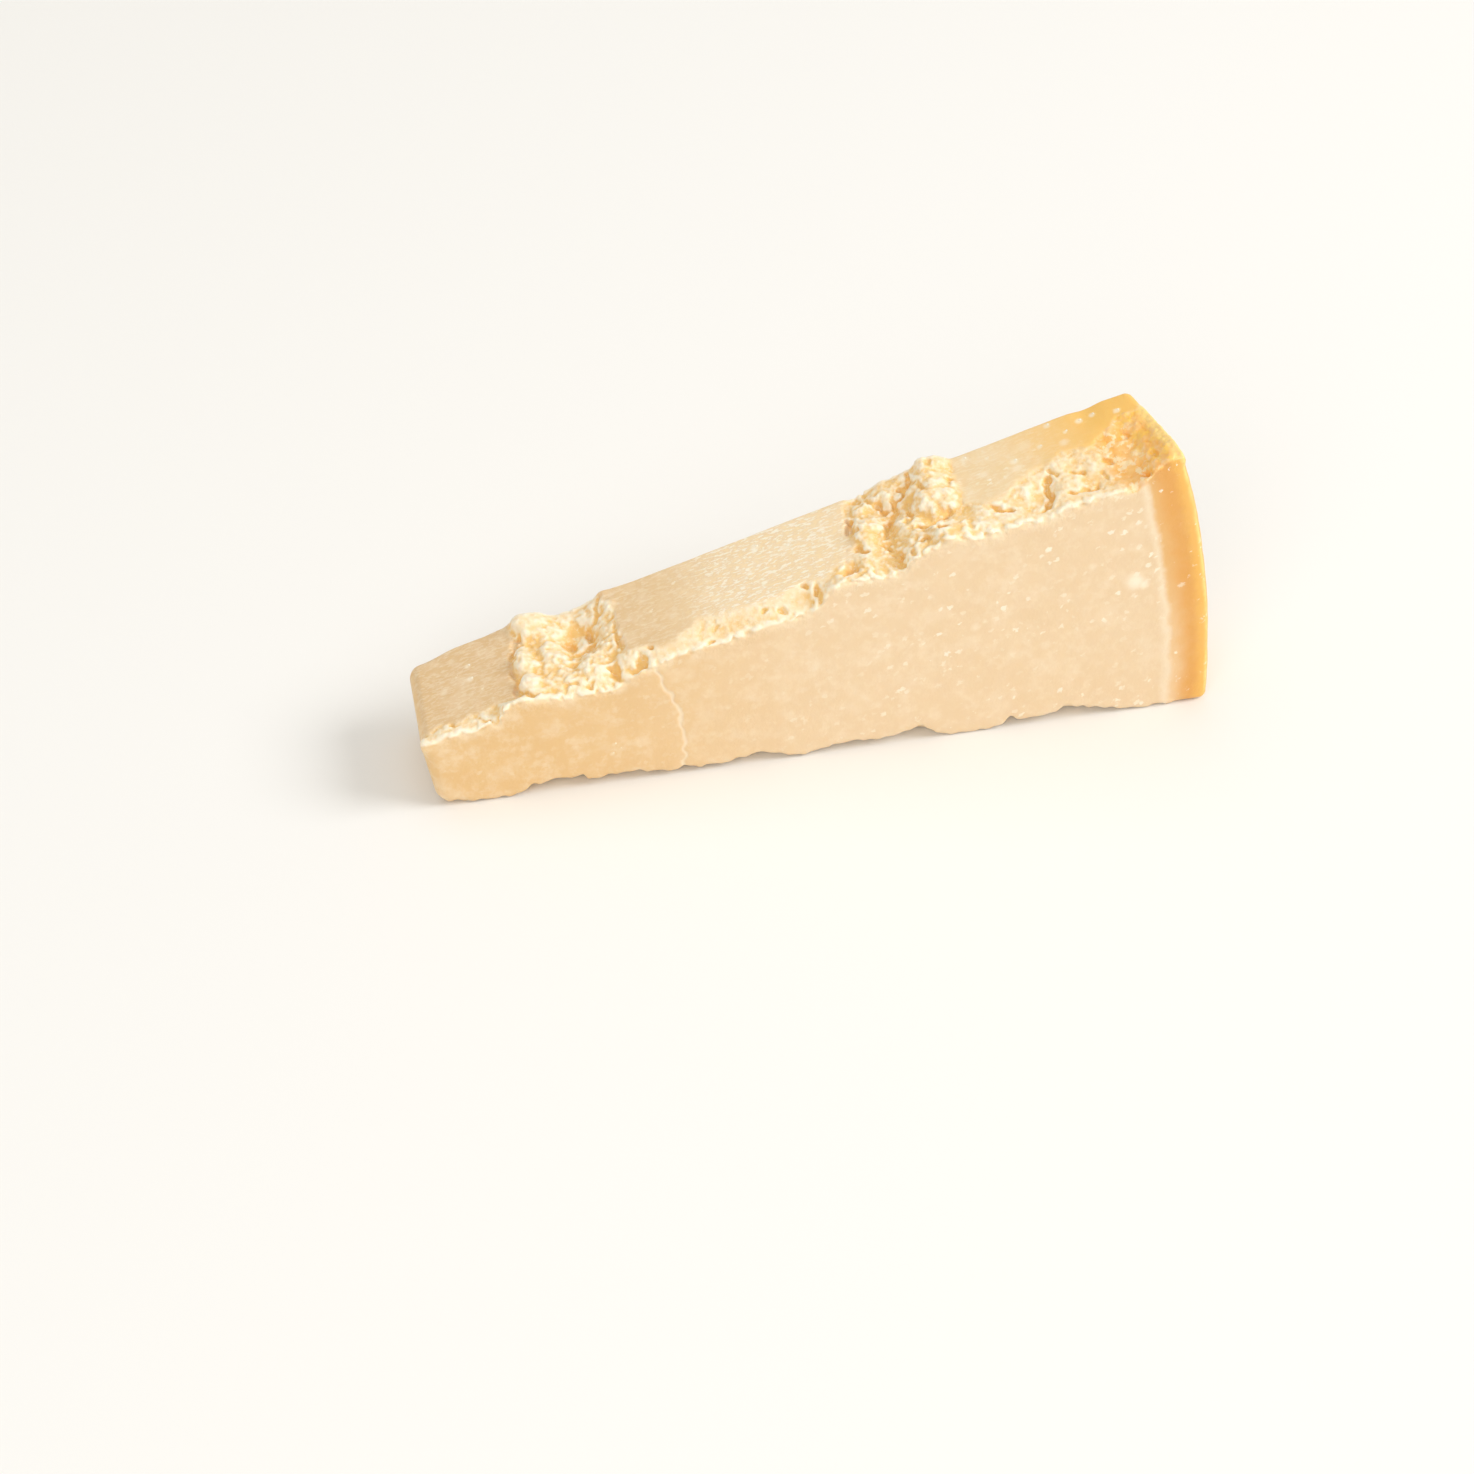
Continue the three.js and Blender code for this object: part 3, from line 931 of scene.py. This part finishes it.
class Cheese(Nodes):
    """The cheese's material, whose colours follow the shape through the mesh's attributes."""

    def __init__(self):
        super().__init__("cheese")
        self.warped = self.warp()
        turn = {"Vector": self.warped, "Axis": (0, 1, 0), "Angle": FLECK_SLANT}
        self.slanted = self.scaled(self.add("ShaderNodeVectorRotate", turn).outputs[0], FLECK_STRETCH)
        x, _, self.z = self.axes(self.place)
        self.outward, _, up = self.axes(self.add("ShaderNodeNewGeometry").outputs["Normal"])
        self.upward = self.step(up, *TOP_FACES)
        self.sideways = self.maths("SUBTRACT", 1.0, self.upward)
        self.along = self.step(x, LOW.x, HIGH.x)
        self.broken = self.attribute("broken")
        self.below_top = self.attribute("below_top")
        self.sunk = self.attribute("sunk")
        self.torn_skin = self.product(self.broken, self.step(self.below_top, *TORN_SKIN))
        uneven = self.step(self.grain(self.place, 4.0), 0.3, 0.7, -BAND_UNEVEN, BAND_UNEVEN)
        self.rind_depth = self.maths("ADD", self.attribute("rind_depth"), uneven)

    def warp(self):
        inputs = {"Vector": self.place, "Scale": WARP_SCALE, "Detail": 1.0}
        wander = self.scaled(self.add("ShaderNodeTexNoise", inputs).outputs["Color"], (WARP_REACH,) * 3)
        return self.add("ShaderNodeVectorMath", {0: self.place, 1: wander}, operation="ADD").outputs[0]

    def cut_faces(self):
        cut = self.blend(self.step(self.along, 0.0, 0.55), CUT_AT_TIP, CUT_AT_HEEL)
        top = self.blend(self.along, TOP_AT_TIP, TOP_AT_HEEL)
        # Partly painted light: the front warmer than the top, on top of the cheese's own tone.
        colour = self.blend(self.upward, cut, top)
        colour = self.blend(self.clouds(self.place, *DEEPER_CLOUDS), colour, DEEPER, "MULTIPLY")
        colour = self.blend(self.clouds(self.place, *PALE_CLOUDS), colour, PALE)
        colour = self.blend(self.clouds(self.warped, *SMALL_PALE_CLOUDS), colour, PALE)
        colour = self.with_streaks(colour)
        colour = self.with_flecks(colour)
        # Painted glow: a pale band on the front, just under the broken top edge.
        lip_glow = self.product(
            self.step(self.below_top, *LIP_GLOW), self.step(self.attribute("from_front"), *LIP_GLOW_BACK)
        )
        colour = self.blend(self.product(lip_glow, self.clouds(self.place, *LIP_GLOW_CLOUDS)), colour, LIP_GLOW_COLOUR)
        # Painted highlight: the crack gets a pale line, standing for light catching its edge.
        return self.blend(self.product(self.attribute("crack"), 0.6), colour, PALE)

    def with_streaks(self, colour):
        """The knife's streaks on the top, which are strongest between the two broken patches."""
        middle = self.product(self.step(self.along, 0.21, 0.36), self.step(self.along, 0.66, 0.50))
        middle = self.product(middle, self.upward)
        streaks = self.grain(self.scaled(self.place, STREAK_STRETCH), STREAK_WIDTH, STREAK_DETAIL)
        colour = self.blend(self.product(middle, 0.3), colour, PALE)
        dark = self.product(self.step(streaks, 0.50, 0.38, 0.0, 0.8), middle)
        colour = self.blend(dark, colour, TORN)
        shown = self.product(self.maths("MAXIMUM", middle, 0.25), self.upward)
        return self.blend(self.product(self.step(streaks, 0.50, 0.60), shown), colour, WHITE_GRAIN)

    def with_flecks(self, colour):
        """The small pale flecks of the cut faces, which there are more of towards the rind."""
        crowd = self.step(self.along, 0.1, 0.9, 0.2, 1.0)
        crowd = self.product(crowd, self.step(self.grain(self.place, 8.0), 0.35, 0.6, 0.3, 1.0))
        for place, sort in ((self.slanted, SMALL_FLECKS), (self.warped, LARGE_FLECKS)):
            colour = self.blend(self.product(self.flecks(place, *sort), crowd), colour, WHITE_GRAIN)
        return colour

    def torn(self):
        """The broken places, with painted light: white on the peaks as painted highlight, and golden in the
        hollows as painted shade.
        """
        # Painted shade: the sunk places turn from white to tan.
        colour = self.blend(self.step(self.sunk, -0.7, 0.6, 0.0, 0.8), WHITE_GRAIN, TORN)
        for measure, low, high, strength in GOLDEN_SHADE_LAYERS:
            shade_in_hollows = self.step(self.attribute(measure), low, high, 0.0, strength)
            colour = self.blend(shade_in_hollows, colour, GOLDEN_SHADE)
        # Clouds of the same golden painted shade, strongest over the second patch.
        patch = self.product(
            self.step(self.along, 0.45, 0.55, 0.1, 0.75), self.step(self.along, 0.72, 0.78, 1.0, 0.1)
        )
        golden = self.product(self.clouds(self.warped, *GOLDEN_CLOUDS), patch)
        colour = self.blend(golden, colour, GOLDEN_SHADE)
        # Painted highlight: the small peaks, with little cheese round them, turn white.
        peaks = self.step(self.attribute("crowding"), 0.48, 0.36, 0.0, 0.7)
        colour = self.blend(peaks, colour, WHITE_GRAIN)
        return self.blend(self.clouds(self.warped, *WHITE_SPECKS), colour, WHITE_GRAIN)

    def ripened(self, colour):
        """The riper cheese of the top by the rind, and its scorched crumbs."""
        ripe = self.product(self.step(self.rind_depth, *RIPENING), self.upward)
        ripe = self.product(ripe, self.step(self.broken, 0.0, 1.0, 0.95, 0.1))
        colour = self.blend(ripe, colour, RIPE)
        near_top = self.product(self.broken, self.step(self.below_top, *SCORCHED_SKIN))
        scorched = self.product(self.step(self.rind_depth, *SCORCHING, 0.0, 0.9), near_top)
        return self.blend(scorched, colour, self.scorched())

    def scorched(self):
        """The crumbs by the rind: tan, turning orange in the sunk gaps as painted shade, with pale crumbs,
        then yellow, then the rim's colour.
        """
        # Painted shade: the sunk gaps take the deeper orange.
        colour = self.blend(self.step(self.sunk, -0.5, 0.5), TAN, SCORCHED_GAP_SHADE)
        crumbs = self.clouds(self.warped, *SCORCHED_CRUMBS)
        crumbs = self.product(crumbs, self.step(self.rind_depth, *SCORCHED_CRUMBS_END, 0.0, 0.9))
        colour = self.blend(crumbs, colour, CRUMB)
        glowing = self.clouds(self.place, *YELLOW_CLOUDS)
        glowing = self.product(glowing, self.step(self.rind_depth, *YELLOWING, 0.0, 0.8))
        colour = self.blend(glowing, colour, YELLOW)
        return self.blend(self.step(self.rind_depth, *SCORCHED_RIM, 0.0, 0.8), colour, RIND_RIM)

    def band(self, torn):
        """The band inside the rind, and the rind's outer face. Where it is broken it has the torn colours."""
        colour = self.blend(self.step(self.rind_depth, *BAND_MIDDLE), RIND_INNER, RIND_MIDDLE)
        low_down = self.step(self.z, 0.045, 0.008, 0.0, 0.7)
        low_down = self.product(low_down, self.step(self.rind_depth, *BAND_PEACH))
        colour = self.blend(low_down, colour, PEACH)
        colour = self.blend(self.step(self.rind_depth, *BAND_OUTER), colour, RIND_OUTER)
        colour = self.blend(self.step(self.rind_depth, *BAND_RIM), colour, RIND_RIM)
        colour = self.blend(self.clouds(self.warped, *RIND_CLOUDS), colour, RIND_INNER)
        colour = self.blend(self.flecks(self.slanted, *RIND_FLECKS), colour, WHITE_GRAIN)
        skin = self.blend(self.clouds(self.place, *SKIN_CLOUDS), SKIN, SKIN_DARKER)
        colour = self.blend(self.step(self.outward, *OUTER_FACES), colour, skin)
        return self.blend(self.torn_skin, colour, torn)

    def pale_spots(self):
        """1 in the middle of each blotch and crystal on the cut faces, falling to 0 at its edge."""
        spots = [((x, 0.0, z), reach, strength) for x, z, reach, strength in FRONT_BLOTCHES]
        spots += [(on_top(t, v), reach, strength) for t, v, reach, strength in TOP_BLOTCHES]
        spots += [(point, reach, PALER_ROUND_CRYSTALS) for point, reach in CRYSTALS]
        total = 0.0
        for point, reach, strength in spots:
            inputs = {0: self.warped, 1: to_row_frame(np.array(point))}
            away = self.add("ShaderNodeVectorMath", inputs, operation="DISTANCE").outputs["Value"]
            spot = self.step(away, 0.2 * reach * MM, 1.05 * reach * MM, strength, 0.0)
            total = self.maths("MAXIMUM", total, spot)
        return total

    def colour(self):
        colour = self.ripened(self.blend(self.torn_skin, self.cut_faces(), self.torn()))
        band = self.band(colour)
        line = self.product(self.step(self.rind_depth, *PALE_LINE), self.sideways)
        colour = self.blend(self.product(line, 0.5), colour, PALE)
        colour = self.blend(self.product(self.step(self.rind_depth, *BAND), self.sideways), colour, band)
        spots = self.product(self.pale_spots(), self.maths("SUBTRACT", 1.0, self.broken))
        return self.blend(spots, colour, SPOT)


def cheese_material():
    cheese = Cheese()
    cheese.shader.inputs["Subsurface Weight"].default_value = SUBSURFACE
    cheese.shader.inputs["Subsurface Radius"].default_value = SUBSURFACE_RADIUS
    cheese.shader.inputs["Subsurface Scale"].default_value = SUBSURFACE_SCALE
    roughness = cheese.step(cheese.grain(cheese.place, 1.2), 0.3, 0.7, *ROUGHNESS)
    fine, coarse = [cheese.grain(cheese.place, size) for size in (0.5, 1.8)]
    relief = cheese.maths("ADD", fine, cheese.product(coarse, 1.5))
    bump = cheese.step(cheese.broken, 0.0, 1.0, CUT_BUMP, BROKEN_BUMP)
    return cheese.finish(cheese.colour(), roughness, relief, bump, BUMP_HEIGHT)


def crystal_material():
    crystal = Nodes("crystal")
    colour = crystal.blend(crystal.clouds(crystal.place, *CRYSTAL_CLOUDS), CRYSTAL, PALE)
    relief = crystal.grain(crystal.place, 0.3)
    return crystal.finish(colour, 0.45, relief, 0.4, 0.0002)


# ---------------- the scene

def make_world():
    world = bpy.data.worlds.new("world")
    world.use_nodes = True
    background = world.node_tree.nodes["Background"]
    background.inputs["Color"].default_value = (*SKY, 1)
    background.inputs["Strength"].default_value = SKY_STRENGTH
    bpy.context.scene.world = world


def make_camera():
    camera = bpy.data.cameras.new("camera")
    camera.sensor_width = SENSOR
    camera.lens = LENS
    camera.shift_x = SHIFT
    camera.clip_start = CLIP
    item = bpy.data.objects.new("camera", camera)
    bpy.context.scene.collection.objects.link(item)
    item.location = CAMERA_PLACE
    item.rotation_euler = (CAMERA_TILT, 0, CAMERA_TURN)
    bpy.context.scene.camera = item


def make_floor():
    bpy.ops.mesh.primitive_plane_add(size=FLOOR_WIDTH)
    floor = bpy.context.object
    floor.name = "floor"
    material = bpy.data.materials.new("floor")
    material.use_nodes = True
    shader = material.node_tree.nodes["Principled BSDF"]
    shader.inputs["Base Color"].default_value = (*FLOOR_COLOUR, 1)
    shader.inputs["Roughness"].default_value = FLOOR_ROUGHNESS
    floor.data.materials.append(material)


def add_light(name, place, size, power):
    light = bpy.data.lights.new(name, "AREA")
    light.shape = "DISK"
    light.size = size
    light.energy = power
    lamp = bpy.data.objects.new(name, light)
    bpy.context.scene.collection.objects.link(lamp)
    lamp.location = place
    lamp.rotation_euler = (Vector(LIT_PLACE) - Vector(place)).to_track_quat("-Z", "Y").to_euler()


bpy.context.scene.view_settings.view_transform = "Standard"
make_world()
make_camera()
make_floor()
for name, place, size, power in LIGHTS:
    add_light(name, place, size, power)

wedge = make_wedge()
wedge.data.materials.append(cheese_material())
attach(wedge, "root")
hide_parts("wedge")

crystals = make_crystals(wedge)
crystals.data.materials.append(crystal_material())
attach(crystals, "root")
